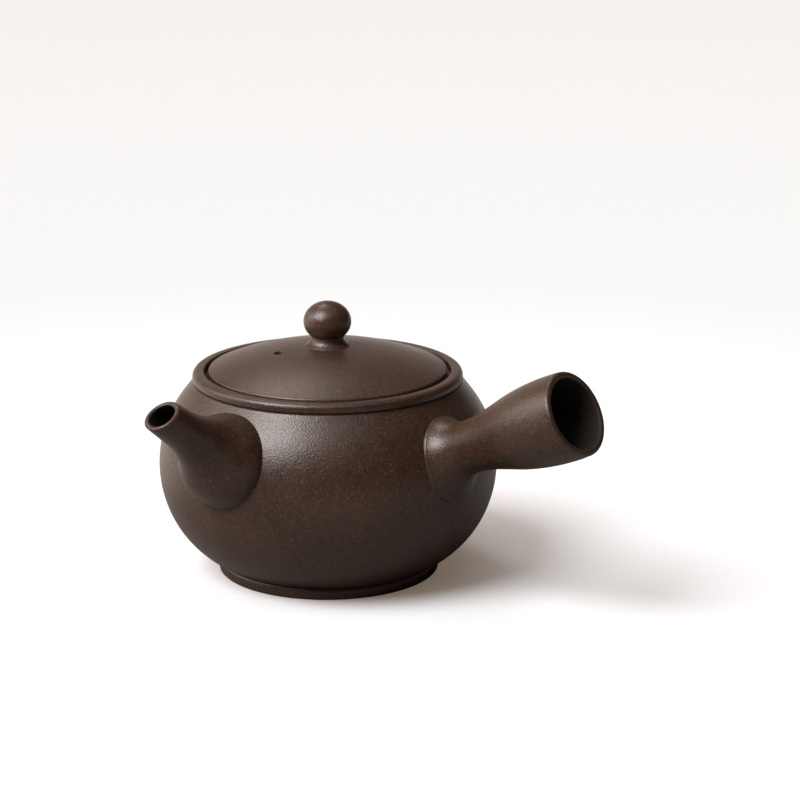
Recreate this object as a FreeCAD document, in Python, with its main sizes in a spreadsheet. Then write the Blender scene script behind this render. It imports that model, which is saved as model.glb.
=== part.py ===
"""Side-handled teapot (kyusu) of unglazed stoneware, in millimetres.

The pot stands on z = 0 with its turning axis on Z. The handle runs out along +X
and the spout leaves on the -Y side. Every thrown member is a section turned about
its own axis; members luted on are cut by the surface that they sit on, so they
meet it face to face. All sizes are in one table and drive the model by expression.
"""
import FreeCAD
import Part
import Sketcher
import math
import os

# name, value, what it is
SIZES = (
    ("belly_radius", 54.1, "widest outer radius of the pot"),
    ("belly_height", 35.3, "height of the widest circle"),
    ("belly_bend", 36.8, "radius of the arc round the belly"),
    ("bowl_angle", 26.4, "where the belly arc hands over to the bowl, degrees below level"),
    ("shoulder_angle", 38.0, "where the belly arc hands over to the shoulder, degrees above level"),
    ("seam_rise", 4.44, "top of the thrown body, where the collar sits, above the shoulder's turn"),
    ("pot_wall", 3.0, "wall of the thrown body"),
    ("floor_wall", 3.7, "floor of the thrown body"),
    ("foot_inset", 18.7, "outer edge of the foot where it stands, in from the widest circle"),
    ("foot_draft", 0.2, "how much the foot leans in towards its top"),
    ("foot_height", 3.8, "height of the foot"),
    ("foot_width", 4.6, "width of the foot ring"),
    ("foot_round", 0.8, "rounding of the foot's standing edges"),
    ("collar_rise", 3.4, "crest of the collar above the seam"),
    ("collar_swell", 0.25, "how far the collar stands out past the seam"),
    ("collar_lip", 3.8, "width of the collar between its outside and the lid pocket"),
    ("collar_crown", 2.7, "rounding of the collar's outer shoulder"),
    ("collar_ease", 0.7, "rounding of the collar's inner edge"),
    ("collar_chamfer", 0.5, "little bevel over the seam line"),
    ("gallery_rise", 0.9, "ledge for the lid, above the seam"),
    ("gallery_wall", 2.4, "thickness of the ledge"),
    ("gallery_width", 5.08, "width of the ledge"),
    ("lid_gap", 1.25, "clearance between lid edge and collar"),
    ("lid_seat_gap", 0.1, "clearance between lid and ledge"),
    ("lid_edge_rise", 2.6, "edge of the lid's dome above the lid's underside"),
    ("lid_bend", 96.0, "radius of the lid's dome"),
    ("lid_edge_round", 0.9, "rounding of the lid's top edge"),
    ("lid_wall", 3.2, "lid thickness in the middle"),
    ("lid_land", 1.2, "how far the flange is let into the lid"),
    ("flange_clearance", 0.6, "clearance between flange and throat"),
    ("flange_wall", 2.4, "wall of the lid's flange"),
    ("flange_depth", 6.6, "how far the flange reaches below the ledge"),
    ("flange_round", 0.7, "rounding of the flange's lower edges"),
    ("vent_radius", 1.4, "steam hole in the lid"),
    ("vent_reach", 16.4, "steam hole, from the lid's axis"),
    ("vent_turn", -118.5, "steam hole, degrees about Z from the handle"),
    ("knob_radius", 7.6, "half width of the knob's ball"),
    ("knob_half_height", 6.5, "half height of the ball before it is cut flat below"),
    ("knob_rise", 7.45, "middle of the ball above the lid's dome"),
    ("knob_cut", 46.3, "where the ball is cut flat, degrees below its middle"),
    ("neck_foot_radius", 7.0, "foot of the little neck, on the lid"),
    ("neck_bend", 3.4, "hollow of the little neck"),
    ("handle_projection", 45.4, "middle of the handle's mouth, out from the widest circle"),
    ("handle_height", 69.2, "middle of the handle's mouth over the table"),
    ("handle_rise", 24.0, "climb of the handle, degrees"),
    ("handle_mouth_radius", 13.5, "widest outer radius, near the mouth"),
    ("handle_mouth_back", 6.0, "widest section, back from the mouth"),
    ("handle_neck_radius", 8.35, "thinnest outer radius"),
    ("handle_neck_back", 44.5, "thinnest section, back from the mouth"),
    ("handle_taper", 11.0, "slope of the straight stretch, degrees"),
    ("handle_belly_bend", 94.0, "long arc near the mouth"),
    ("handle_neck_bend", 52.0, "hollow arc on the mouth side of the neck"),
    ("handle_flare_bend", 12.3, "hollow arc on the pot side of the neck"),
    ("handle_flare_angle", 62.0, "steepest slope of the flare, degrees"),
    ("handle_root_length", 6.0, "straight root inside the pot's outline"),
    ("handle_wall", 2.2, "wall of the handle"),
    ("handle_cut_tip", 4.0, "mouth tipped up past square, degrees"),
    ("handle_cut_turn", 5.5, "mouth turned past square, degrees"),
    ("handle_lip_round", 0.95, "rounding of the handle's lip"),
    ("spout_turn", -87.5, "spout, degrees about Z from the handle"),
    ("spout_projection", 24.5, "middle of the spout's mouth, out from the widest circle"),
    ("spout_height", 67.7, "middle of the spout's mouth over the table"),
    ("spout_rise", 35.8, "climb of the spout, degrees"),
    ("spout_bulb_radius", 14.75, "widest outer radius, at the root"),
    ("spout_bulb_back", 36.0, "widest section, back from the mouth"),
    ("spout_bulb_bend", 16.0, "round arc of the root"),
    ("spout_flare_angle", 34.0, "steepest slope, degrees"),
    ("spout_tip_radius", 5.65, "outer radius at the mouth"),
    ("spout_taper", 3.0, "slope of the tip, degrees"),
    ("spout_root_length", 9.0, "straight root inside the pot's outline"),
    ("spout_wall", 1.6, "wall of the spout"),
    ("spout_cut_tip", 21.5, "mouth tipped up past square, degrees"),
    ("spout_cut_turn", -5.0, "mouth turned past square, degrees"),
    ("spout_lip_round", 0.7, "rounding of the spout's lip"),
    ("port_radius", 10.5, "hole through the pot's wall behind the spout"),
    ("port_rise", 18.5, "climb of the hole's axis, degrees"),
    ("port_lift", 10.7, "where the hole's axis meets the inside of the wall, above the widest circle"),
    ("strainer_radius", 12.8, "outer radius of the strainer's rim"),
    ("strainer_bulge", 5.0, "how far the strainer's dome stands in"),
    ("strainer_skirt", 2.6, "shortest rim between the dome and the wall"),
    ("strainer_wall", 1.6, "thickness of the strainer"),
    ("sieve_radius", 0.65, "radius of each hole in the strainer"),
    ("sieve_pitch", 2.4, "distance from one ring of holes to the next"),
    ("sieve_rings", 4, "rings of holes round the middle one"),
    ("sieve_first", 6, "holes in the first ring, and how many each ring gains"),
    ("overrun", 5.0, "how far a cut runs past what it cuts"),
)

# how close an edge or face must lie to its wanted place to be taken for it
EDGE_MATCH = 0.01

DOC = FreeCAD.newDocument("kyusu")


def make_sheet():
    """Write the table of sizes into the document's sheet, one alias each."""
    sheet = DOC.addObject("Spreadsheet::Sheet", "sizes")
    for row, (name, value, meaning) in enumerate(SIZES, start=1):
        sheet.set(f"A{row}", name)
        sheet.set(f"B{row}", str(value))
        sheet.setAlias(f"B{row}", name)
        sheet.set(f"C{row}", meaning)
    DOC.recompute()


class Size:
    """A length or ratio that knows both its value and the expression that gives it."""

    def __init__(self, value, text):
        self.value = value
        self.text = text

    def _with(self, other, sign, swap=False):
        other = other if isinstance(other, Size) else Size(other, repr(other))
        first, second = (other, self) if swap else (self, other)
        values = {
            "+": lambda a, b: a + b,
            "-": lambda a, b: a - b,
            "*": lambda a, b: a * b,
            "/": lambda a, b: a / b,
        }
        value = values[sign](first.value, second.value)
        return Size(value, f"({first.text} {sign} {second.text})")

    def __add__(self, other):
        return self._with(other, "+")

    def __radd__(self, other):
        return self._with(other, "+", swap=True)

    def __sub__(self, other):
        return self._with(other, "-")

    def __rsub__(self, other):
        return self._with(other, "-", swap=True)

    def __mul__(self, other):
        return self._with(other, "*")

    def __rmul__(self, other):
        return self._with(other, "*", swap=True)

    def __truediv__(self, other):
        return self._with(other, "/")

    def __neg__(self):
        return 0 - self


def sin(angle):
    """Sine of a Size in degrees."""
    return Size(math.sin(math.radians(angle.value)), f"sin({angle.text} * 1 deg)")


def cos(angle):
    """Cosine of a Size in degrees."""
    return Size(math.cos(math.radians(angle.value)), f"cos({angle.text} * 1 deg)")


def tan(angle):
    """Tangent of a Size in degrees."""
    return Size(math.tan(math.radians(angle.value)), f"tan({angle.text} * 1 deg)")


def root(square):
    """Square root of a Size."""
    return Size(math.sqrt(square.value), f"sqrt({square.text})")


S = {name: Size(float(value), f"sizes.{name}") for name, value, meaning in SIZES}
ZERO = Size(0.0, "0")


def round_arc(radius, hollow=False):
    """Segment of an outline: an arc, bulging away from the axis unless hollow."""
    return ("arc", radius, hollow)


LINE = ("line", None, False)


def arc_geometry(start, end, radius, hollow):
    """Arc from start to end; returns it and whether it runs counter-clockwise."""
    chord = end - start
    middle = (start + end) * 0.5
    rise = math.sqrt(max(radius * radius - chord.Length * chord.Length / 4, 0))
    normal = FreeCAD.Vector(-chord.y, chord.x, 0).normalize()
    # an outline is drawn counter-clockwise about its material
    side = -1 if hollow else 1
    centre = middle + normal * (rise * side)
    circle = Part.Circle(centre, FreeCAD.Vector(0, 0, 1), radius)
    first = circle.parameter(start)
    last = circle.parameter(end)
    if hollow:
        return Part.ArcOfCircle(circle, last, first), False
    return Part.ArcOfCircle(circle, first, last), True


def origin_plane(body, role):
    """The body's own origin plane or axis of that role."""
    for feature in body.Origin.OriginFeatures:
        if feature.Role == role:
            return feature
    raise ValueError(role)


def outline_sketch(body, name, points, segments):
    """Closed outline in the body's XZ plane.

    points are (radius, height) pairs of Size; segments[i] joins point i to the next.
    Every point and every arc radius is tied to the sheet.
    """
    sketch = body.newObject("Sketcher::SketchObject", name)
    sketch.AttachmentSupport = [(origin_plane(body, "XZ_Plane"), "")]
    sketch.MapMode = "FlatFace"
    vectors = [FreeCAD.Vector(x.value, z.value, 0) for x, z in points]
    count = len(points)
    ends = []
    for index, (kind, radius, hollow) in enumerate(segments):
        start = vectors[index]
        end = vectors[(index + 1) % count]
        if kind == "line":
            sketch.addGeometry(Part.LineSegment(start, end), False)
            ends.append((1, 2))
        else:
            arc, forward = arc_geometry(start, end, radius.value, hollow)
            sketch.addGeometry(arc, False)
            ends.append((1, 2) if forward else (2, 1))
    for index in range(count):
        after = (index + 1) % count
        sketch.addConstraint(
            Sketcher.Constraint("Coincident", index, ends[index][1], after, ends[after][0]))
    for index, (x, z) in enumerate(points):
        start = ends[index][0]
        tie_point(sketch, index, start, x, "DistanceX", -2)
        tie_point(sketch, index, start, z, "DistanceY", -1)
    for index, (kind, radius, hollow) in enumerate(segments):
        if kind == "arc":
            row = sketch.addConstraint(Sketcher.Constraint("Radius", index, radius.value))
            sketch.setExpression(f"Constraints[{row}]", radius.text)
    return sketch


def tie_point(sketch, geometry, end, size, kind, axis):
    """Hold one coordinate of a sketch point at its size, or on the axis if it is zero."""
    if size is ZERO:
        sketch.addConstraint(Sketcher.Constraint("PointOnObject", geometry, end, axis))
        return
    row = sketch.addConstraint(Sketcher.Constraint(kind, -1, 1, geometry, end, size.value))
    sketch.setExpression(f"Constraints[{row}]", size.text)


def turned(name, points, segments):
    """A body turned about its own Z axis from a closed outline."""
    body = DOC.addObject("PartDesign::Body", name)
    sketch = outline_sketch(body, f"{name}_outline", points, segments)
    solid = body.newObject("PartDesign::Revolution", f"{name}_turned")
    solid.Profile = sketch
    solid.ReferenceAxis = (sketch, ["V_Axis"])
    sketch.Visibility = False
    DOC.recompute()
    return body


def place(thing, x=ZERO, y=ZERO, z=ZERO, turn=ZERO, climb=None):
    """Put a thing at x, y, z, its own Z axis upright or climbing towards turn, degrees."""
    lean = "0 deg" if climb is None else f"90 deg - {climb.text} * 1 deg"
    thing.setExpression(
        "Placement",
        f"placement(vector({x.text}; {y.text}; {z.text}); "
        f"rotationz({turn.text} * 1 deg) * rotationy({lean}))")


def boolean(kind, name, base, tool):
    """Cut, common or fuse of two things."""
    result = DOC.addObject(f"Part::{kind}", name)
    result.Base = base
    result.Tool = tool
    DOC.recompute()
    return result


def find_circles(shape, wanted):
    """Names of circular edges about the Z axis at the wanted (radius, height) pairs."""
    names = []
    for index, edge in enumerate(shape.Edges, start=1):
        if edge.Degenerated or not isinstance(edge.Curve, Part.Circle):
            continue
        for radius, height in wanted:
            beside = abs(edge.Curve.Radius - radius.value)
            above = abs(edge.Curve.Center.z - height.value)
            if max(beside, above) < EDGE_MATCH:
                names.append(f"Edge{index}")
    return names


def round_circles(body, name, wanted, radius):
    """Fillet the body's circular edges at the wanted places."""
    base = body.Tip
    edges = find_circles(base.Shape, wanted)
    if len(edges) != len(wanted):
        raise ValueError(f"{name}: {len(edges)} edges found, {len(wanted)} wanted")
    fillet = body.newObject("PartDesign::Fillet", name)
    fillet.Base = (base, edges)
    fillet.setExpression("Radius", radius.text)
    DOC.recompute()
    return fillet


# pot body
SHOULDER_TURN_X = S["belly_radius"] - S["belly_bend"] * (1 - cos(S["shoulder_angle"]))
SHOULDER_TURN_Z = S["belly_height"] + S["belly_bend"] * sin(S["shoulder_angle"])
SEAM_HEIGHT = SHOULDER_TURN_Z + S["seam_rise"]
SEAM_RADIUS = SHOULDER_TURN_X - S["seam_rise"] * tan(S["shoulder_angle"])
SEAM_INNER_RADIUS = SEAM_RADIUS - S["pot_wall"] / cos(S["shoulder_angle"])
FOOT_RADIUS = S["belly_radius"] - S["foot_inset"]
FOOT_TOP_RADIUS = FOOT_RADIUS - S["foot_draft"]
FLOOR_HEIGHT = S["foot_height"] + S["floor_wall"]


def belly_point(bend, angle):
    """Point of an arc about the belly's centre, the angle upwards from level."""
    centre = S["belly_radius"] - S["belly_bend"]
    return centre + bend * cos(angle), S["belly_height"] + bend * sin(angle)


def bowl_bend(foot_point, turn_point):
    """Radius of the arc that leaves the belly arc smoothly and ends at the foot point."""
    dx = foot_point[0] - turn_point[0]
    dz = foot_point[1] - turn_point[1]
    along = dx * cos(S["bowl_angle"]) - dz * sin(S["bowl_angle"])
    return -((dx * dx + dz * dz) / (2 * along))


def pot_form(name, wall, foot_point, top):
    """Solid of the pot's outside (wall zero) or of its hollow, up to the height top."""
    bend = S["belly_bend"] - wall
    low = belly_point(bend, -S["bowl_angle"])
    high = belly_point(bend, S["shoulder_angle"])
    top_radius = high[0] - (top - high[1]) * tan(S["shoulder_angle"])
    points = [
        (ZERO, foot_point[1]),
        foot_point,
        low,
        high,
        (top_radius, top),
        (ZERO, top),
    ]
    segments = [LINE, round_arc(bowl_bend(foot_point, low)), round_arc(bend), LINE, LINE, LINE]
    return turned(name, points, segments)


def tilted_axis_height(height, reach, rise):
    """Where a tilted axis through (reach, height) crosses the pot's own axis."""
    return height - reach * tan(rise)


def port_inner_reach():
    """Radius of the pot's inside at the height of the hole behind the spout."""
    bend = S["belly_bend"] - S["pot_wall"]
    return S["belly_radius"] - S["belly_bend"] + root(bend * bend - S["port_lift"] * S["port_lift"])


PORT_REACH = port_inner_reach()
PORT_AXIS_HEIGHT = tilted_axis_height(S["belly_height"] + S["port_lift"], PORT_REACH, S["port_rise"])


def make_pot_body(outside, hollow):
    """Thrown shell: outside less hollow, pierced behind the spout."""
    shell = boolean("Cut", "pot_shell", outside, hollow)
    drill = DOC.addObject("Part::Cylinder", "port_drill")
    drill.setExpression("Radius", S["port_radius"].text)
    drill.setExpression("Height", (S["belly_radius"] + S["overrun"]).text)
    place(drill, z=PORT_AXIS_HEIGHT, turn=S["spout_turn"], climb=S["port_rise"])
    DOC.recompute()
    return boolean("Cut", "pot_body", shell, drill)


# foot ring
def make_foot_ring():
    """Turned foot ring that the pot stands on."""
    inner = FOOT_RADIUS - S["foot_width"]
    points = [
        (inner, ZERO),
        (FOOT_RADIUS, ZERO),
        (FOOT_TOP_RADIUS, S["foot_height"]),
        (inner, S["foot_height"]),
    ]
    ring = turned("foot_ring", points, [LINE, LINE, LINE, LINE])
    round_circles(ring, "foot_rounding", [points[0], points[1]], S["foot_round"])
    return ring


# mouth collar
COLLAR_RADIUS = SEAM_RADIUS + S["collar_swell"]
CREST_HEIGHT = SEAM_HEIGHT + S["collar_rise"]
POCKET_RADIUS = COLLAR_RADIUS - S["collar_lip"]
GALLERY_HEIGHT = SEAM_HEIGHT + S["gallery_rise"]
THROAT_RADIUS = POCKET_RADIUS - S["gallery_width"]


def make_mouth_collar():
    """Collar on the seam, with the pocket for the lid and the ledge that carries it."""
    ledge_bottom = GALLERY_HEIGHT - S["gallery_wall"]
    wall_slope = tan(S["shoulder_angle"])
    wall_radius = SEAM_INNER_RADIUS + (SEAM_HEIGHT - ledge_bottom) * wall_slope
    points = [
        (THROAT_RADIUS, ledge_bottom),
        (wall_radius, ledge_bottom),
        (SEAM_INNER_RADIUS, SEAM_HEIGHT),
        (SEAM_RADIUS, SEAM_HEIGHT),
        (COLLAR_RADIUS, SEAM_HEIGHT + S["collar_chamfer"]),
        (COLLAR_RADIUS, CREST_HEIGHT - S["collar_crown"]),
        (COLLAR_RADIUS - S["collar_crown"], CREST_HEIGHT),
        (POCKET_RADIUS + S["collar_ease"], CREST_HEIGHT),
        (POCKET_RADIUS, CREST_HEIGHT - S["collar_ease"]),
        (POCKET_RADIUS, GALLERY_HEIGHT),
        (THROAT_RADIUS, GALLERY_HEIGHT),
    ]
    segments = [LINE, LINE, LINE, LINE, LINE, round_arc(S["collar_crown"]), LINE,
                round_arc(S["collar_ease"]), LINE, LINE, LINE]
    return turned("mouth_collar", points, segments)


# lid
LID_RADIUS = POCKET_RADIUS - S["lid_gap"]
LID_SEAT_HEIGHT = GALLERY_HEIGHT + S["lid_seat_gap"]
FLANGE_RADIUS = THROAT_RADIUS - S["flange_clearance"]
FLANGE_INNER_RADIUS = FLANGE_RADIUS - S["flange_wall"]
FLANGE_TOP = LID_SEAT_HEIGHT + S["lid_land"]
LID_EDGE_HEIGHT = LID_SEAT_HEIGHT + S["lid_edge_rise"]


def dome_drop(radius):
    """How far the lid's outer dome lies below its middle at that radius."""
    return S["lid_bend"] - root(S["lid_bend"] * S["lid_bend"] - radius * radius)


LID_CROWN_HEIGHT = LID_EDGE_HEIGHT + dome_drop(LID_RADIUS)


def make_lid_form():
    """Thrown lid before the steam hole: domed above, hollowed below."""
    hollow_top = LID_CROWN_HEIGHT - S["lid_wall"]
    hollow_rise = hollow_top - FLANGE_TOP
    hollow_bend = (FLANGE_INNER_RADIUS * FLANGE_INNER_RADIUS + hollow_rise * hollow_rise) / (2 * hollow_rise)
    points = [
        (ZERO, hollow_top),
        (FLANGE_INNER_RADIUS, FLANGE_TOP),
        (FLANGE_RADIUS, FLANGE_TOP),
        (FLANGE_RADIUS, LID_SEAT_HEIGHT),
        (LID_RADIUS, LID_SEAT_HEIGHT),
        (LID_RADIUS, LID_EDGE_HEIGHT),
        (ZERO, LID_CROWN_HEIGHT),
    ]
    segments = [round_arc(hollow_bend, hollow=True), LINE, LINE, LINE, LINE, round_arc(S["lid_bend"]), LINE]
    lid = turned("lid_form", points, segments)
    round_circles(lid, "lid_edge_rounding", [points[5]], S["lid_edge_round"])
    return lid


def make_lid_dome(lid_form):
    """The lid with its steam hole."""
    drill = DOC.addObject("Part::Cylinder", "vent_drill")
    drill.setExpression("Radius", S["vent_radius"].text)
    drill.setExpression("Height", LID_CROWN_HEIGHT.text)
    place(drill, x=S["vent_reach"] * cos(S["vent_turn"]), y=S["vent_reach"] * sin(S["vent_turn"]))
    DOC.recompute()
    return boolean("Cut", "lid_dome", lid_form, drill)


def make_lid_flange():
    """Ring under the lid that keeps it centred in the throat."""
    bottom = GALLERY_HEIGHT - S["flange_depth"]
    points = [
        (FLANGE_INNER_RADIUS, bottom),
        (FLANGE_RADIUS, bottom),
        (FLANGE_RADIUS, FLANGE_TOP),
        (FLANGE_INNER_RADIUS, FLANGE_TOP),
    ]
    flange = turned("lid_flange", points, [LINE, LINE, LINE, LINE])
    round_circles(flange, "flange_rounding", [points[0], points[1]], S["flange_round"])
    return flange


# knob
KNOB_HEIGHT = LID_CROWN_HEIGHT + S["knob_rise"]
KNOB_CUT_HEIGHT = KNOB_HEIGHT - S["knob_half_height"] * sin(S["knob_cut"])
KNOB_CUT_RADIUS = S["knob_radius"] * cos(S["knob_cut"])


def make_knob_neck(lid_form):
    """Little flared neck between lid and ball, its foot cut to the dome."""
    sunk = LID_CROWN_HEIGHT - S["lid_wall"] / 2
    foot_height = LID_CROWN_HEIGHT - dome_drop(S["neck_foot_radius"])
    points = [
        (ZERO, sunk),
        (S["neck_foot_radius"], sunk),
        (S["neck_foot_radius"], foot_height),
        (KNOB_CUT_RADIUS, KNOB_CUT_HEIGHT),
        (ZERO, KNOB_CUT_HEIGHT),
    ]
    segments = [LINE, LINE, round_arc(S["neck_bend"], hollow=True), LINE, LINE]
    blank = turned("neck_blank", points, segments)
    return boolean("Cut", "knob_neck", blank, lid_form)


def make_lid_knob():
    """Ball of the knob, a little flattened, cut flat where it meets the neck."""
    ball = DOC.addObject("Part::Ellipsoid", "lid_knob")
    ball.setExpression("Radius1", S["knob_half_height"].text)
    ball.setExpression("Radius2", S["knob_radius"].text)
    ball.setExpression("Radius3", S["knob_radius"].text)
    ball.setExpression("Angle1", f"-{S['knob_cut'].text} * 1 deg")
    place(ball, z=KNOB_HEIGHT)
    DOC.recompute()
    return ball


# hollow limbs
HANDLE_REACH = S["belly_radius"] + S["handle_projection"]
SPOUT_REACH = S["belly_radius"] + S["spout_projection"]


def trim_mouth(name, limb, reach, height, turn, climb, lip_round):
    """Cut a limb at its slanted mouth and round both edges of the lip."""
    block = DOC.addObject("Part::Box", f"{name}_mouth_block")
    side = 2 * S["belly_radius"]
    for edge in ("Length", "Width", "Height"):
        block.setExpression(edge, side.text)
    block.setExpression(
        "Placement",
        f"placement(vector({reach.text}; 0; {height.text}); "
        f"rotationz({turn.text} * 1 deg) * rotationy(90 deg - {climb.text} * 1 deg)) * "
        f"placement(vector(-{side.text} / 2; -{side.text} / 2; 0); rotationz(0 deg))")
    DOC.recompute()
    cut = boolean("Cut", f"{name}_trimmed", limb, block)
    middle = FreeCAD.Vector(reach.value, 0, height.value)
    normal = block.Placement.Rotation.multVec(FreeCAD.Vector(0, 0, 1))
    lip = DOC.addObject("Part::Fillet", f"{name}_lip")
    lip.Base = cut
    borders = [edge for face in cut.Shape.Faces
               if isinstance(face.Surface, Part.Plane)
               and abs((face.CenterOfMass - middle).dot(normal)) < EDGE_MATCH
               for edge in face.Edges]
    edges = [(index, lip_round.value, lip_round.value)
             for index, edge in enumerate(cut.Shape.Edges, start=1)
             if any(edge.isSame(border) for border in borders)]
    if len(edges) < 2:
        raise ValueError(f"{name}: lip edges not found")
    lip.Edges = edges
    DOC.recompute()
    return lip


def make_handle(outside):
    """Hollow flared handle, open at its mouth, its root cut to the pot."""
    mouth = HANDLE_REACH / cos(S["handle_rise"])
    neck = mouth - S["handle_neck_back"]
    widest = mouth - S["handle_mouth_back"]
    end = mouth + S["overrun"]

    def side(wall):
        """Outline from root to mouth, offset inwards by wall."""
        flare = S["handle_flare_bend"] + wall
        flare_centre = S["handle_neck_radius"] + S["handle_flare_bend"]
        root_z = neck - flare * sin(S["handle_flare_angle"])
        root_x = flare_centre - flare * cos(S["handle_flare_angle"])
        hollow = S["handle_neck_bend"] + wall
        hollow_centre = S["handle_neck_radius"] + S["handle_neck_bend"]
        belly = S["handle_belly_bend"] - wall
        belly_centre = S["handle_mouth_radius"] - S["handle_belly_bend"]
        past = end - widest
        points = [
            (root_x, neck - S["handle_flare_bend"] * sin(S["handle_flare_angle"]) - S["handle_root_length"]),
            (root_x, root_z),
            (S["handle_neck_radius"] - wall, neck),
            (hollow_centre - hollow * cos(S["handle_taper"]), neck + hollow * sin(S["handle_taper"])),
            (belly_centre + belly * cos(S["handle_taper"]), widest - belly * sin(S["handle_taper"])),
            (belly_centre + root(belly * belly - past * past), end),
        ]
        return points, [None, flare, hollow, None, belly]

    return make_limb("handle", outside, side, ("flare", "flare", "belly"), S["handle_wall"],
                     HANDLE_REACH, S["handle_height"], S["handle_rise"],
                     S["handle_cut_turn"], S["handle_cut_tip"], S["handle_lip_round"])


def make_spout(outside):
    """Tapering spout with a round root, its root cut to the pot."""
    mouth = SPOUT_REACH / cos(S["spout_rise"])
    widest = mouth - S["spout_bulb_back"]
    end = mouth + S["overrun"]
    flare_sin = sin(S["spout_flare_angle"])
    flare_cos = cos(S["spout_flare_angle"])
    taper_sin = sin(S["spout_taper"])
    taper_cos = cos(S["spout_taper"])
    taper_tan = tan(S["spout_taper"])
    # the hollow arc that joins the round root to the tapering tip
    drop = S["spout_bulb_radius"] - S["spout_bulb_bend"] * (1 - flare_cos) - S["spout_tip_radius"]
    run = (S["spout_bulb_back"] - S["spout_bulb_bend"] * flare_sin) * taper_tan
    neck_bend = (drop - run) / ((taper_cos - flare_cos) - (flare_sin - taper_sin) * taper_tan)

    def side(wall):
        """Outline from root to mouth, offset inwards by wall."""
        bulb = S["spout_bulb_bend"] - wall
        bulb_centre = S["spout_bulb_radius"] - S["spout_bulb_bend"]
        hollow = neck_bend + wall
        hollow_z = widest + (S["spout_bulb_bend"] + neck_bend) * flare_sin
        hollow_x = bulb_centre + (S["spout_bulb_bend"] + neck_bend) * flare_cos
        points = [
            (S["spout_bulb_radius"] - wall, widest - S["spout_root_length"]),
            (S["spout_bulb_radius"] - wall, widest),
            (bulb_centre + bulb * flare_cos, widest + bulb * flare_sin),
            (hollow_x - hollow * taper_cos, hollow_z - hollow * taper_sin),
            (S["spout_tip_radius"] - wall - S["overrun"] * taper_tan, end),
        ]
        return points, [None, bulb, hollow, None]

    return make_limb("spout", outside, side, ("belly", "flare"), S["spout_wall"],
                     SPOUT_REACH, S["spout_height"], S["spout_rise"],
                     S["spout_cut_turn"], S["spout_cut_tip"], S["spout_lip_round"])


def make_limb(name, outside, side, kinds, wall, reach, height, rise, cut_turn, cut_tip, lip_round):
    """Tube with the given side outline, trimmed at its mouth and cut to the pot."""
    outer, outer_bends = side(ZERO)
    inner, inner_bends = side(wall)

    def segments(bends, inward):
        row = []
        names = iter(kinds)
        for bend in bends:
            if bend is None:
                row.append(LINE)
            else:
                row.append(round_arc(bend, hollow=(next(names) == "flare") != inward))
        return row

    outer_row = segments(outer_bends, False)
    inner_row = segments(inner_bends, True)
    points = outer + inner[::-1]
    joined = outer_row + [LINE] + inner_row[::-1] + [LINE]
    tube = turned(f"{name}_tube", points, joined)
    place(tube, z=tilted_axis_height(height, reach, rise), climb=rise)
    DOC.recompute()
    lip = trim_mouth(name, tube, reach, height, cut_turn, rise + cut_tip, lip_round)
    return boolean("Cut", name, lip, outside)


# strainer
def make_strainer(hollow):
    """Perforated clay dome inside the pot, over the hole to the spout."""
    wall_reach = PORT_REACH / cos(S["port_rise"])
    rim = S["strainer_radius"]
    bend = (rim * rim + S["strainer_bulge"] * S["strainer_bulge"]) / (2 * S["strainer_bulge"])
    back = bend - S["strainer_wall"]
    inner_rim = rim - S["strainer_wall"]
    base = wall_reach - S["strainer_skirt"] - S["strainer_wall"]
    centre = base - S["strainer_bulge"] + bend
    end = wall_reach + S["overrun"]
    points = [
        (ZERO, centre - bend),
        (rim, base),
        (rim, end),
        (inner_rim, end),
        (inner_rim, centre - root(back * back - inner_rim * inner_rim)),
        (ZERO, centre - back),
    ]
    segments = [round_arc(bend), LINE, LINE, LINE, round_arc(back, hollow=True), LINE]
    dome = turned("strainer_form", points, segments)
    pierce_sieve(dome)
    place(dome, z=PORT_AXIS_HEIGHT, climb=S["port_rise"])
    DOC.recompute()
    return boolean("Common", "strainer", dome, hollow)


def pierce_sieve(dome):
    """Rings of small holes through the strainer's dome, along its axis."""
    rings = int(S["sieve_rings"].value)
    for ring in range(rings + 1):
        sketch = dome.newObject("Sketcher::SketchObject", f"sieve_{ring}")
        sketch.AttachmentSupport = [(origin_plane(dome, "XY_Plane"), "")]
        sketch.MapMode = "FlatFace"
        reach = S["sieve_pitch"] * ring
        circle = Part.Circle(FreeCAD.Vector(reach.value, 0, 0), FreeCAD.Vector(0, 0, 1), S["sieve_radius"].value)
        sketch.addGeometry(circle, False)
        row = sketch.addConstraint(Sketcher.Constraint("Radius", 0, S["sieve_radius"].value))
        sketch.setExpression(f"Constraints[{row}]", S["sieve_radius"].text)
        tie_point(sketch, 0, 3, reach if ring else ZERO, "DistanceX", -2)
        tie_point(sketch, 0, 3, ZERO, "DistanceY", -1)
        pocket = dome.newObject("PartDesign::Pocket", f"sieve_cut_{ring}")
        pocket.Profile = sketch
        pocket.Type = "ThroughAll"
        pocket.Reversed = True
        DOC.recompute()
        if ring:
            pattern = dome.newObject("PartDesign::PolarPattern", f"sieve_ring_{ring}")
            pattern.Originals = [pocket]
            pattern.Axis = (origin_plane(dome, "Z_Axis"), [""])
            pattern.setExpression("Occurrences", (S["sieve_first"] * ring).text)
            dome.Tip = pattern
            DOC.recompute()


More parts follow.
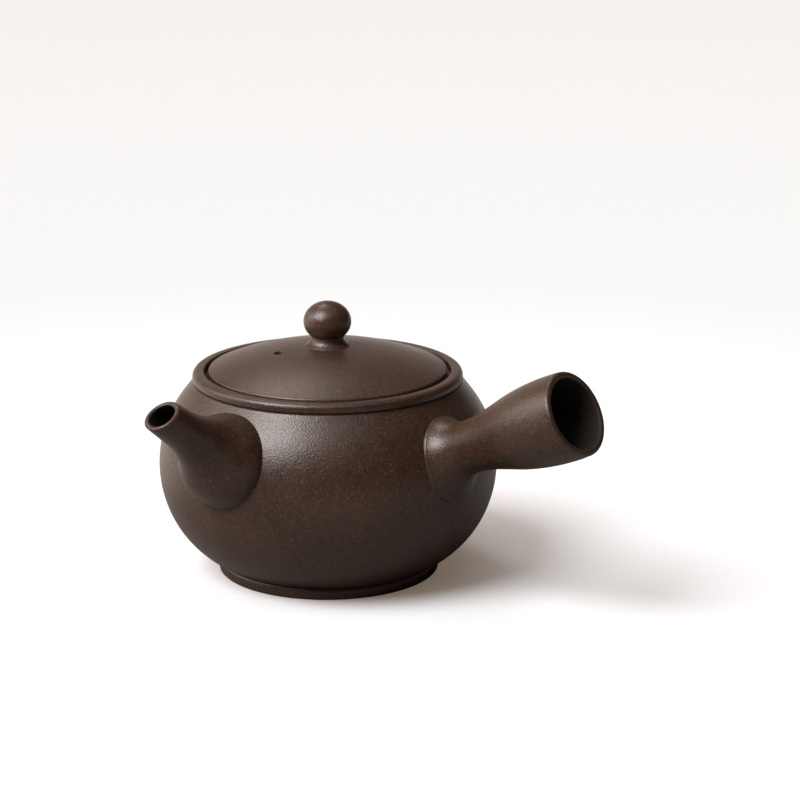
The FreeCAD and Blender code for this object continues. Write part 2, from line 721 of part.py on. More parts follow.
def build():
    """Make every member and return those that are handed over, by name."""
    make_sheet()
    outside = pot_form("pot_outside", ZERO, (FOOT_TOP_RADIUS, S["foot_height"]), SEAM_HEIGHT)
    hollow = pot_form("pot_hollow", S["pot_wall"], (FOOT_TOP_RADIUS, FLOOR_HEIGHT),
                      SEAM_HEIGHT + S["overrun"])
    lid_form = make_lid_form()
    members = {
        "pot_body": make_pot_body(outside, hollow),
        "foot_ring": make_foot_ring(),
        "mouth_collar": make_mouth_collar(),
        "handle": make_handle(outside),
        "spout": make_spout(outside),
        "strainer": make_strainer(hollow),
        "lid_dome": make_lid_dome(lid_form),
        "lid_flange": make_lid_flange(),
        "knob_neck": make_knob_neck(lid_form),
        "lid_knob": make_lid_knob(),
    }
    place(members["spout"], turn=S["spout_turn"])
    place(members["strainer"], turn=S["spout_turn"])
    for name, member in members.items():
        member.Label = name
    DOC.recompute()
    return members


def check(members):
    """Stop if any object failed or any member is not one valid solid."""
    for thing in DOC.Objects:
        if "Invalid" in thing.State or "Error" in thing.State:
            raise RuntimeError(f"{thing.Name} failed: {thing.State}")
    for name, member in members.items():
        shape = member.Shape
        if shape.isNull() or not shape.isValid():
            raise RuntimeError(f"{name} has no valid shape")
        if len(shape.Solids) != 1:
            raise RuntimeError(f"{name} has {len(shape.Solids)} solids")


def report(members):
    """Print each member's volume and box."""
    for name, member in members.items():
        box = member.Shape.BoundBox
        print(f"{name:13s} {member.Shape.Volume:9.1f} mm3  "
              f"x {box.XMin:7.2f} {box.XMax:7.2f}  y {box.YMin:7.2f} {box.YMax:7.2f}  "
              f"z {box.ZMin:6.2f} {box.ZMax:6.2f}")


def main():
    """Build, check and write the parts."""
    members = build()
    check(members)
    report(members)
    os.makedirs("parts", exist_ok=True)
    for name, member in members.items():
        member.Shape.exportStep(f"parts/{name}.step")


main()
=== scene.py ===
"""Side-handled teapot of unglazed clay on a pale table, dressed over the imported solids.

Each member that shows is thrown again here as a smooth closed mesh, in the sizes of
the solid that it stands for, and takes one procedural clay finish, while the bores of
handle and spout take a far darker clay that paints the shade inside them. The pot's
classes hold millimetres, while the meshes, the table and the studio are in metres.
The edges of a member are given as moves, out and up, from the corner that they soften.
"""
import logging
from dataclasses import dataclass, field
from enum import Enum
from math import asin, atan2, cos, degrees, dist, hypot, pi, radians, sin, sqrt, tan
from typing import Any, Callable, Sequence

import bmesh
import bpy
from mathutils import Euler, Matrix, Vector


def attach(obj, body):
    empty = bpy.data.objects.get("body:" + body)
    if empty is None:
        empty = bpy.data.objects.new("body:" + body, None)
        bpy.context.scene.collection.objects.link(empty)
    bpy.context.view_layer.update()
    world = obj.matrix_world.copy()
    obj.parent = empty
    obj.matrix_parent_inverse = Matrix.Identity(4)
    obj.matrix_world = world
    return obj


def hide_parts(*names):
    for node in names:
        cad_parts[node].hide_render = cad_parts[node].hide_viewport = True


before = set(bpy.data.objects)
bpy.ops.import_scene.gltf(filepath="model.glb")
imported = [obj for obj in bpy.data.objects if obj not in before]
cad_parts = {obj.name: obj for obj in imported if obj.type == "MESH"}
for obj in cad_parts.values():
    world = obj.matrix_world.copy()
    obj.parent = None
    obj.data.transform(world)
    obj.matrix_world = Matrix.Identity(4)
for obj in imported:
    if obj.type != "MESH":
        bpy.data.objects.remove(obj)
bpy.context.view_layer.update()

MM = 0.001
CLOSE = 1e-3  # millimetres, two places nearer than this are one
CRISP = 50.0  # degrees, a turned ring's edges sharper than this stay crisp
SPOUT_TURN = -87.5  # degrees about Z, from the handle
LOG = logging.getLogger("teapot")

Point = tuple[float, float]
Edge = tuple[Point, ...]
Band = tuple[float, float]
Colour = tuple[float, float, float, float]
Piece = bpy.types.Object
Finish = bpy.types.Material


class Body(Enum):
    """The two bodies of the pot that a piece can ride on."""

    POT = "pot"
    LID = "lid"


# shader sheets


class Signal:
    """A shader value that takes part in sums: each operator adds its Math node."""

    def __init__(self, sheet: "Sheet", socket: bpy.types.NodeSocket) -> None:
        """Wrap an output socket of the sheet."""
        self.sheet = sheet
        self.socket = socket

    def _math(self, operation: str, other: Any, swap: bool = False) -> "Signal":
        """Add the Math node of an operation.

        Args:
            operation: the node's operation.
            other: the other value, a number or a Signal.
            swap: whether the other value comes first.

        Returns:
            The node's result.
        """
        first, second = (other, self) if swap else (self, other)
        node = self.sheet.add("ShaderNodeMath", {"operation": operation}, {0: first, 1: second})
        return self.sheet.out(node)

    def __add__(self, other: Any) -> "Signal":
        """Sum."""
        return self._math("ADD", other)

    def __sub__(self, other: Any) -> "Signal":
        """Difference."""
        return self._math("SUBTRACT", other)

    def __rsub__(self, other: Any) -> "Signal":
        """Difference with the number first."""
        return self._math("SUBTRACT", other, swap=True)

    def __mul__(self, other: Any) -> "Signal":
        """Product."""
        return self._math("MULTIPLY", other)

    # a sum or a product is the same with the number first
    __radd__, __rmul__ = __add__, __mul__


class Sheet:
    """The node sheet of one material or of the world."""

    # the Mix node's colour sockets: factor, low and high colour, and the result
    MIX_FACTOR, MIX_LOW, MIX_HIGH, MIX_RESULT = 0, 6, 7, 2

    def __init__(self, tree: bpy.types.NodeTree) -> None:
        """Empty the tree and keep it."""
        tree.nodes.clear()
        self.tree = tree

    def add(self, kind: str, settings: dict[str, Any] | None = None,
            inputs: dict[Any, Any] | None = None) -> bpy.types.Node:
        """Add any node.

        Args:
            kind: the node's type name.
            settings: its own settings, which are set first.
            inputs: numbers, colours or Signals for its inputs, by name or number.

        Returns:
            The node.
        """
        node = self.tree.nodes.new(kind)
        for name, value in (settings or {}).items():
            setattr(node, name, value)
        for key, value in (inputs or {}).items():
            if isinstance(value, Signal):
                self.tree.links.new(value.socket, node.inputs[key])
            else:
                node.inputs[key].default_value = value
        return node

    def out(self, node: bpy.types.Node, name: Any = 0) -> Signal:
        """One output of a node as a Signal."""
        return Signal(self, node.outputs[name])

    def mix(self, share: Any, low: Any, high: Any) -> Signal:
        """Colour between low and high.

        Args:
            share: how much of the high colour, a number or a Signal.
            low: colour at share 0.
            high: colour at share 1.

        Returns:
            The mixed colour.
        """
        node = self.add("ShaderNodeMix", {"data_type": "RGBA", "clamp_factor": True},
                        {self.MIX_FACTOR: share, self.MIX_LOW: low, self.MIX_HIGH: high})
        return self.out(node, self.MIX_RESULT)

    def band(self, value: Any, low: float, high: float,
             start: float = 0.0, end: float = 1.0) -> Signal:
        """Value moved from low..high to start..end, smoothly and clamped.

        Args:
            value: the Signal to move.
            low: value that gives start.
            high: value that gives end.
            start: result at or under low.
            end: result at or over high.

        Returns:
            The moved value.
        """
        node = self.add("ShaderNodeMapRange", {"interpolation_type": "SMOOTHSTEP"},
                        {"Value": value, "From Min": low, "From Max": high,
                         "To Min": start, "To Max": end})
        return self.out(node)


# finishes


def new_finish(name: str) -> tuple[Finish, Sheet, Signal]:
    """A new material, its empty sheet and its object coordinates."""
    material = bpy.data.materials.new(name)
    material.use_nodes = True
    sheet = Sheet(material.node_tree)
    return material, sheet, sheet.out(sheet.add("ShaderNodeTexCoord"), "Object")


@dataclass(frozen=True)
class Lumps:
    """Noise in the clay: width of its lumps in millimetres, detail and roughness."""

    size: float
    detail: float = 3.0
    rough: float = 0.55

    def show(self, sheet: Sheet, place: Signal) -> Signal:
        """Add the noise at these coordinates."""
        node = sheet.add("ShaderNodeTexNoise", None,
                         {"Vector": place, "Scale": 1.0 / (self.size * MM),
                          "Detail": self.detail, "Roughness": self.rough})
        return sheet.out(node, "Fac")


@dataclass(frozen=True)
class Dots:
    """Scattered dots, one at most in each cell, whose size is in millimetres.

    The half width is a share of the cell, and the share is that of the cells that
    hold a dot. The core is the solid part of a dot, and past fade the dots pale.
    """

    cell: float
    half_width: float
    share: float
    core: float = 0.55
    fade: float = 0.8

    def show(self, sheet: Sheet, place: Signal) -> Signal:
        """Add the dots at these coordinates, 1 in a dot and 0 elsewhere."""
        node = sheet.add("ShaderNodeTexVoronoi", {"feature": "F1"},
                         {"Vector": place, "Scale": 1.0 / (self.cell * MM), "Randomness": 1.0})
        parts = sheet.add("ShaderNodeSeparateColor", None, {0: sheet.out(node, "Color")})
        near = sheet.band(sheet.out(node, "Distance"), self.half_width * self.core,
                          self.half_width, 1.0, 0.0)
        return near * sheet.band(sheet.out(parts), self.share * self.fade, self.share, 1.0, 0.0)


@dataclass(frozen=True)
class ClayFinish:
    """Unglazed, burnished dark clay: mottled brown, with grog specks and a fine grain."""

    name: str = "fired_clay"
    deep: Colour = (0.038, 0.0182, 0.0106, 1.0)
    warm: Colour = (0.069, 0.0330, 0.0192, 1.0)
    speck: Colour = (0.28, 0.172, 0.105, 1.0)
    clouds: Lumps = Lumps(24.0, 4.0)
    flecks: Lumps = Lumps(2.0, 4.0, 0.68)
    grain: Lumps = Lumps(0.42, 2.0, 0.5)
    clouds_share: float = 0.40
    flecks_share: float = 0.42
    grain_share: float = 0.28
    tone_band: Band = (0.44, 0.66)
    fine: Dots = Dots(0.85, 0.27, 0.80)
    fine_strength: float = 0.42
    coarse: Dots = Dots(2.0, 0.14, 0.72)
    coarse_strength: float = 0.58
    polish: Lumps = Lumps(1.4)
    roughness: float = 0.295
    roughness_spread: float = 0.07
    hand: Lumps = Lumps(15.0, 1.0, 0.4)
    pores: Dots = Dots(1.0, 0.16, 0.5)
    hand_depth: float = 0.10 * MM
    grain_depth: float = 0.10 * MM
    pore_depth: float = 0.06 * MM
    refraction: float = 1.5
    sheen: float = 0.72
    sheen_tint: Colour = (1.0, 0.96, 0.94, 1.0)

    def make(self) -> Finish:
        """Build the material, on object coordinates.

        Returns:
            The material.
        """
        material, sheet, place = new_finish(self.name)
        clouds = self.clouds.show(sheet, place)
        flecks = self.flecks.show(sheet, place)
        grain = self.grain.show(sheet, place)
        mottle = clouds * self.clouds_share + flecks * self.flecks_share + grain * self.grain_share
        colour = sheet.mix(sheet.band(mottle, *self.tone_band), self.deep, self.warm)
        for dots, strength in ((self.fine, self.fine_strength),
                               (self.coarse, self.coarse_strength)):
            colour = sheet.mix(dots.show(sheet, place) * strength, colour, self.speck)
        polish = self.polish.show(sheet, place)
        spread = self.roughness_spread
        rough = self.roughness + (polish - 0.5) * spread + (clouds - 0.5) * spread
        relief: dict[str, Signal] = {}
        for height, depth, sunk in ((self.hand.show(sheet, place), self.hand_depth, False),
                                    (grain, self.grain_depth, False),
                                    (self.pores.show(sheet, place), self.pore_depth, True)):
            bump = sheet.add("ShaderNodeBump", {"invert": sunk},
                             {"Strength": 1.0, "Distance": depth, "Height": height, **relief})
            relief = {"Normal": sheet.out(bump)}
        shader = sheet.add("ShaderNodeBsdfPrincipled", None,
                           {"Base Color": colour, "Roughness": rough, **relief,
                            "IOR": self.refraction, "Specular IOR Level": self.sheen,
                            "Specular Tint": self.sheen_tint})
        sheet.add("ShaderNodeOutputMaterial", None, {"Surface": sheet.out(shader)})
        return material


@dataclass(frozen=True)
class BoreShadeClay(ClayFinish):
    """The clay of the bores: dull, as unburnished clay is, and far darker to paint the shade
    inside them.
    """

    name: str = "bore_painted_shade"
    deep: Colour = (0.007, 0.0034, 0.0020, 1.0)
    warm: Colour = (0.013, 0.0062, 0.0037, 1.0)
    speck: Colour = (0.032, 0.020, 0.012, 1.0)
    roughness: float = 0.75


@dataclass(frozen=True)
class TableFinish:
    """Matt pale table that keeps the pot's shadow and looks white to the camera alone.

    The bands are in metres: near and far ones from the pot, which paint a pool of light
    over white near the pot that dims farther away, and the lit one across, which paints
    light on the side of the table that the pot sees.
    """

    name: str = "white_table"
    # painted light: the table as the pot sees it is pale past the lit band and dark elsewhere
    paper: Colour = (0.27, 0.25, 0.235, 1.0)
    paper_lit: Colour = (0.80, 0.76, 0.72, 1.0)
    lit_band: Band = (-0.20, -0.05)
    # painted pool of light: to the camera the table is brighter than white near the pot
    near: Colour = (1.12, 1.15, 1.20, 1.0)
    painted_pool_band: Band = (0.10, 0.42)
    middle: Colour = (0.850, 0.893, 0.930, 1.0)
    far: Colour = (0.805, 0.830, 0.840, 1.0)
    painted_falloff_band: Band = (0.35, 1.35)
    # an even warm glow that the camera alone sees: painted light that lifts and warms the pot's
    # shadow
    painted_glow: Colour = (1.0, 0.78, 0.60, 1.0)
    painted_glow_share: float = 0.15

    def make(self) -> Finish:
        """Build the material, on object coordinates.

        Returns:
            The material.
        """
        material, sheet, place = new_finish(self.name)
        span = sheet.add("ShaderNodeVectorMath", {"operation": "LENGTH"}, {0: place})
        away = sheet.out(span, "Value")
        across = sheet.out(sheet.add("ShaderNodeSeparateXYZ", None, {0: place}), "X")
        # painted light to the camera: over white near the pot, dimming through the far band
        white = sheet.mix(sheet.band(away, *self.painted_pool_band), self.near, self.middle)
        white = sheet.mix(sheet.band(away, *self.painted_falloff_band), white, self.far)
        # painted light on the side of the table that the pot sees
        paper = sheet.mix(sheet.band(across, *self.lit_band), self.paper_lit, self.paper)
        seen = sheet.out(sheet.add("ShaderNodeLightPath"), "Is Camera Ray")
        matt = sheet.add("ShaderNodeBsdfDiffuse", None, {"Color": sheet.mix(seen, paper, white)})
        # the painted glow, mixed in for camera rays
        painted_glow = sheet.add("ShaderNodeEmission", None, {"Color": self.painted_glow, "Strength": 1.0})
        blend = sheet.add("ShaderNodeMixShader", None,
                          {0: seen * self.painted_glow_share, 1: sheet.out(matt), 2: sheet.out(painted_glow)})
        sheet.add("ShaderNodeOutputMaterial", None, {"Surface": sheet.out(blend)})
        return material


# outlines


def arc(centre: Point, bend: float, start: float, end: float, steps: int) -> list[Point]:
    """Points along an arc.

    Args:
        centre: its middle, radius and height.
        bend: its radius.
        start: first angle in degrees, from level outwards.
        end: last angle.
        steps: how many chords.

    Returns:
        The points, both ends included.
    """
    row = []
    for index in range(steps + 1):
        angle = radians(start + (end - start) * index / steps)
        row.append((centre[0] + bend * cos(angle), centre[1] + bend * sin(angle)))
    return row


def hollow_arc(start: Point, end: Point, bend: float, steps: int) -> list[Point]:
    """Points along the short hollow arc between two points of a rising outline.

    Args:
        start: first point.
        end: last point.
        bend: radius of the arc, whose middle lies outside the outline.
        steps: how many chords.

    Returns:
        The points, both ends included.
    """
    first, last = Vector(start), Vector(end)
    chord = last - first
    side = Vector((chord.y, -chord.x)).normalized()
    rise = sqrt(max(bend * bend - chord.length_squared / 4, 0.0))
    centre = (first + last) / 2 + side * rise
    low = atan2(first.y - centre.y, first.x - centre.x)
    turn = atan2(last.y - centre.y, last.x - centre.x) - low
    turn = (turn + pi) % (2 * pi) - pi
    return arc((centre.x, centre.y), bend, degrees(low), degrees(low + turn), steps)


def straight(start: Point, end: Point, steps: int) -> list[Point]:
    """Points along a straight line, both ends included."""
    return [(start[0] + (end[0] - start[0]) * index / steps,
             start[1] + (end[1] - start[1]) * index / steps) for index in range(steps + 1)]


def moved(base: Point, move: Point) -> Point:
    """The point that lies a move, out and up, from a base."""
    return base[0] + move[0], base[1] + move[1]


def chain(*runs: Sequence[Point]) -> list[Point]:
    """Runs joined end to start, points that repeat left out."""
    row: list[Point] = []
    for run in runs:
        for point in run:
            if not row or dist(row[-1], point) > CLOSE / 10:
                row.append(point)
    return row


# bench work


class Bench:
    """Mesh work by hand, on one object at a time."""

    @staticmethod
    def alone(thing: Piece) -> None:
        """Select one object and nothing else."""
        bpy.ops.object.select_all(action="DESELECT")
        thing.select_set(True)
        bpy.context.view_layer.objects.active = thing

    @staticmethod
    def edit(thing: Piece) -> None:
        """Start editing one object, all of it selected."""
        Bench.alone(thing)
        bpy.ops.object.mode_set(mode="EDIT")
        bpy.ops.mesh.select_all(action="SELECT")

    @staticmethod
    def done() -> None:
        """Turn every face outwards and stop editing."""
        bpy.ops.mesh.select_all(action="SELECT")
        bpy.ops.mesh.normals_make_consistent(inside=False)
        bpy.ops.object.mode_set(mode="OBJECT")

    @staticmethod
    def draw(name: str, points: Sequence[Point], closed: bool) -> Piece:
        """Draw an outline in the XZ plane, one extrusion for each point.

        Args:
            name: name of the new object.
            points: radius and height of each point, in millimetres.
            closed: whether the last point runs back to the first.

        Returns:
            The object, in object mode.
        """
        bpy.ops.object.select_all(action="DESELECT")
        bpy.ops.mesh.primitive_plane_add(size=MM, location=(0.0, 0.0, 0.0))
        thing = bpy.context.active_object
        thing.name = name
        thing.data.name = name
        bpy.ops.object.mode_set(mode="EDIT")
        bpy.ops.mesh.select_mode(type="VERT")
        bpy.ops.mesh.select_all(action="SELECT")
        bpy.ops.mesh.merge(type="CENTER")
        bpy.ops.transform.translate(value=(points[0][0] * MM, 0.0, points[0][1] * MM))
        walk = list(points) + ([points[0]] if closed else [])
        for before, after in zip(walk, walk[1:]):
            step = ((after[0] - before[0]) * MM, 0.0, (after[1] - before[1]) * MM)
            bpy.ops.mesh.extrude_region_move(TRANSFORM_OT_translate={"value": step})
        bpy.ops.mesh.select_all(action="SELECT")
        bpy.ops.mesh.remove_doubles(threshold=CLOSE * MM)
        bpy.ops.object.mode_set(mode="OBJECT")
        return thing

    @staticmethod
    def turned(name: str, points: Sequence[Point], steps: int, closed: bool = False) -> Piece:
        """Turn an outline about the Z axis into a closed shell.

        Args:
            name: name of the new object.
            points: its outline, as draw takes it.
            steps: how many faces go round.
            closed: whether the outline is a ring that keeps off the axis.

        Returns:
            The object.
        """
        thing = Bench.draw(name, points, closed)
        Bench.edit(thing)
        bpy.ops.mesh.spin(steps=steps, angle=2 * pi, center=(0.0, 0.0, 0.0),
                          axis=(0.0, 0.0, 1.0))
        bpy.ops.mesh.select_all(action="SELECT")
        bpy.ops.mesh.remove_doubles(threshold=2 * CLOSE * MM)
        Bench.done()
        return thing

    @staticmethod
    def pick_edges(thing: Piece, wanted: Callable[[bmesh.types.BMEdge], bool]) -> int:
        """Select the edges that pass a test, in edit mode, and count them."""
        bpy.ops.mesh.select_mode(type="EDGE")
        bpy.ops.mesh.select_all(action="DESELECT")
        mesh = bmesh.from_edit_mesh(thing.data)
        count = 0
        for edge in mesh.edges:
            if wanted(edge):
                edge.select_set(True)
                count += 1
        mesh.select_flush_mode()
        bmesh.update_edit_mesh(thing.data)
        return count

    @staticmethod
    def cut_away(thing: Piece, cutter: Piece) -> None:
        """Cut one object out of another and drop the cutter."""
        Bench.alone(thing)
        cut = thing.modifiers.new("cut", "BOOLEAN")
        cut.operation = "DIFFERENCE"
        cut.solver = "EXACT"
        cut.object = cutter
        bpy.ops.object.modifier_apply(modifier=cut.name)
        bpy.data.objects.remove(cutter)

    @staticmethod
    def settle(thing: Piece, matrix: Matrix) -> None:
        """Put an object at its place and apply it, so the object ends at the origin."""
        Bench.alone(thing)
        thing.matrix_world = matrix
        bpy.ops.object.transform_apply(location=True, rotation=True, scale=True)

    @staticmethod
    def smooth(thing: Piece, angle: float = CRISP) -> None:
        """Smooth shading, with edges sharper than the angle left crisp."""
        Bench.alone(thing)
        bpy.ops.object.shade_smooth_by_angle(angle=radians(angle))


def climbing(turn: float, rise: float) -> Matrix:
    """Rotation of the Z axis to one that climbs at rise towards turn, degrees."""
    return Matrix.Rotation(radians(turn), 4, "Z") @ Matrix.Rotation(radians(90 - rise), 4, "Y")


def facing(turn: float, rise: float) -> Vector:
    """Unit direction that climbs at rise towards turn, degrees."""
    turn, rise = radians(turn), radians(rise)
    level = cos(rise)
    return Vector((level * cos(turn), level * sin(turn), sin(rise)))


def dress(thing: Piece, clay: Finish) -> None:
    """Give a piece its clay in place of any other material."""
    thing.data.materials.clear()
    thing.data.materials.append(clay)
    LOG.info("%s: %d faces in %s", thing.name, len(thing.data.polygons), clay.name)


def hand_over(thing: Piece, clay: Finish, body: Body, *nodes: str) -> None:
    """Dress a finished piece and put it on its body in place of its nodes.

    Args:
        thing: the piece.
        clay: its material.
        body: the body that it rides on.
        nodes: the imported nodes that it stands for.
    """
    dress(thing, clay)
    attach(thing, body.value)
    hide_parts(*nodes)


# members


@dataclass(frozen=True)
class PotForm:
    """Outside of the thrown pot: bowl arc, belly arc and straight shoulder."""

    belly_radius: float = 54.08
    belly_height: float = 35.3
    belly_bend: float = 36.8
    bowl_angle: float = 26.4
    shoulder_angle: float = 38.0
    seam_height: float = 62.396
    foot_top_radius: float = 35.2
    foot_height: float = 3.8
    bowl_steps: int = 16
    belly_steps: int = 30
    shoulder_steps: int = 5

    @property
    def shoulder(self) -> float:
        """Slope of the shoulder off the axis, radians."""
        return radians(self.shoulder_angle)

    def turn_points(self, wall: float) -> tuple[Point, Point]:
        """Ends of the belly arc, the lower one first."""
        bend = self.belly_bend - wall
        middle = self.belly_radius - self.belly_bend
        low, high = radians(-self.bowl_angle), self.shoulder
        return ((middle + bend * cos(low), self.belly_height + bend * sin(low)),
                (middle + bend * cos(high), self.belly_height + bend * sin(high)))

    def bowl(self, wall: float, foot: float) -> tuple[Point, float]:
        """Centre and radius of the bowl arc that ends at the foot's height."""
        low = self.turn_points(wall)[0]
        lean = radians(self.bowl_angle)
        dx, dz = self.foot_top_radius - low[0], foot - low[1]
        bend = -(dx * dx + dz * dz) / (2 * (dx * cos(lean) - dz * sin(lean)))
        return (low[0] - bend * cos(lean), low[1] + bend * sin(lean)), bend

    def side(self, wall: float, foot: float, top: float) -> list[Point]:
        """Side of the pot from the foot up.

        Args:
            wall: how far inside the outer surface the side lies.
            foot: height of its lowest point.
            top: height of its highest point.

        Returns:
            The points.
        """
        low, high = self.turn_points(wall)
        centre, bend = self.bowl(wall, foot)
        start = degrees(atan2(foot - centre[1], self.foot_top_radius - centre[0]))
        end = (high[0] - (top - high[1]) * tan(self.shoulder), top)
        middle = (self.belly_radius - self.belly_bend, self.belly_height)
        return chain(arc(centre, bend, start, -self.bowl_angle, self.bowl_steps),
                     arc(middle, self.belly_bend - wall, -self.bowl_angle, self.shoulder_angle,
                         self.belly_steps),
                     straight(high, end, self.shoulder_steps))

    def radius(self, height: float) -> float:
        """Outer radius at a height."""
        low, high = self.turn_points(0.0)
        if height > high[1]:
            return high[0] - (height - high[1]) * tan(self.shoulder)
        if height > low[1]:
            lift = height - self.belly_height
            return self.belly_radius - self.belly_bend + sqrt(self.belly_bend ** 2 - lift * lift)
        centre, bend = self.bowl(0.0, self.foot_height)
        return centre[0] + sqrt(max(bend ** 2 - (height - centre[1]) ** 2, 0.0))


@dataclass(frozen=True)
class Vessel:
    """The thrown body, its foot ring and the collar round its mouth."""

    clay: Finish
    form: PotForm = field(default_factory=PotForm)
    wall: float = 3.0
    floor_height: float = 7.5
    rim_drop: float = 0.30
    rim_edge: Edge = ((0.10, -0.10), (-0.10, 0.0), (-0.6, 0.0))
    foot_land: float = 0.6
    port_radius: float = 10.5
    port_axis_height: float = 29.48
    port_rise: float = 18.5
    drill_length: float = 60.0
    drill_middle: float = 62.0
    drill_sides: int = 72
    foot_radius: float = 35.4
    foot_inner: float = 30.8
    foot_round: float = 0.8
    foot_edge: Edge = ((-0.25, -0.10), (-0.7, 0.0))
    foot_side_end: Point = (0.05, -0.45)
    foot_side_steps: int = 3
    collar_radius: float = 43.08
    collar_seam: float = 42.60
    collar_bed: float = 0.5
    waist_bend: float = 0.9
    waist_start: Point = (0.0, 0.12)
    waist_end: Point = (-0.02, 0.75)
    waist_steps: int = 5
    crest: float = 65.8
    crown_round: float = 1.8
    crown_arc: Band = (2.0, 80.0)
    crown_steps: int = 12
    pocket_radius: float = 39.28
    pocket_round: float = 0.55
    pocket_drop: float = 0.8
    throat_radius: float = 34.2
    ledge: float = 63.3
    ledge_wall: float = 2.4
    corner: float = 0.3
    bed_gap: float = 0.05
    edge_steps: int = 6
    steps: int = 256
    shell_crisp: float = 38.0

    @property
    def seam_inner(self) -> float:
        """Radius of the shell's inner edge at the seam."""
        return self.form.radius(self.form.seam_height) - self.wall / cos(self.form.shoulder)

    def make_shell(self) -> Piece:
        """Throw the shell, wall and floor, and pierce it behind the spout."""
        form = self.form
        outer = form.side(0.0, form.foot_height, form.seam_height - self.rim_drop)
        inner = form.side(self.wall, self.floor_height, form.seam_height)[::-1]
        seam_outer = form.radius(form.seam_height)
        half = form.foot_top_radius / 2
        outline = chain([(0.0, form.foot_height), (half, form.foot_height)],
                        [(form.foot_top_radius - self.foot_land, form.foot_height)], outer,
                        [moved((seam_outer, form.seam_height), move) for move in self.rim_edge],
                        [(self.seam_inner, form.seam_height)], inner,
                        [(half, self.floor_height), (0.0, self.floor_height)])
        shell = Bench.turned("pot_shell", outline, self.steps)
        bpy.ops.object.select_all(action="DESELECT")
        bpy.ops.mesh.primitive_cylinder_add(vertices=self.drill_sides,
                                            radius=self.port_radius * MM,
                                            depth=self.drill_length * MM,
                                            location=(0.0, 0.0, 0.0))
        drill = bpy.context.active_object
        Bench.settle(drill, Matrix.Translation((0.0, 0.0, self.port_axis_height * MM))
                     @ climbing(SPOUT_TURN, self.port_rise)
                     @ Matrix.Translation((0.0, 0.0, self.drill_middle * MM)))
        Bench.cut_away(shell, drill)
        Bench.smooth(shell, self.shell_crisp)
        return shell

    def make_foot(self) -> Piece:
        """Turn the foot ring, its standing edges rounded."""
        soft = self.foot_round
        joint = (self.form.foot_top_radius, self.form.foot_height)
        outline = chain(
            arc((self.foot_inner + soft, soft), soft, 180.0, 270.0, self.edge_steps),
            arc((self.foot_radius - soft, soft), soft, -90.0, 0.0, self.edge_steps),
            straight((self.foot_radius, soft), moved(joint, self.foot_side_end),
                     self.foot_side_steps),
            [moved(joint, move) for move in self.foot_edge], [(self.foot_inner, joint[1])])
        foot = Bench.turned("foot_turned", outline, self.steps, closed=True)
        Bench.smooth(foot)
        return foot

    def make_collar(self) -> Piece:
        """Turn the collar: waisted at the seam, round at its crest, with the lid's ledge."""
        seam = self.form.seam_height
        bottom = self.ledge - self.ledge_wall
        corner = self.corner
        wall_radius = self.seam_inner
        flare = (seam - bottom) * tan(self.form.shoulder)
        waist_low = moved((self.collar_seam, seam), self.waist_start)
        waist_high = moved((self.collar_radius, seam), self.waist_end)
        crown, ease = self.crown_round, self.pocket_round
        outline = chain(
            [(self.throat_radius + corner, bottom),
             (wall_radius + flare - self.bed_gap, bottom), (wall_radius - self.bed_gap, seam),
             (self.collar_seam - self.collar_bed, seam)],
            hollow_arc(waist_low, waist_high, self.waist_bend, self.waist_steps),
            arc((self.collar_radius - crown, self.crest - crown), crown, *self.crown_arc,
                self.crown_steps),
            arc((self.pocket_radius + ease, self.crest - ease), ease, 90.0, 180.0,
                self.edge_steps),
            straight((self.pocket_radius, self.crest - self.pocket_drop),
                     (self.pocket_radius, self.ledge + corner), 2),
            [(self.pocket_radius - corner, self.ledge), (self.throat_radius + corner, self.ledge),
             (self.throat_radius, self.ledge - corner), (self.throat_radius, bottom + corner)])
        collar = Bench.turned("collar_turned", outline, self.steps, closed=True)
        Bench.smooth(collar)
        return collar

    def build(self) -> None:
        """Make the three members and hand them over."""
        hand_over(self.make_shell(), self.clay, Body.POT, "pot_body")
        hand_over(self.make_foot(), self.clay, Body.POT, "foot_ring")
        hand_over(self.make_collar(), self.clay, Body.POT, "mouth_collar")


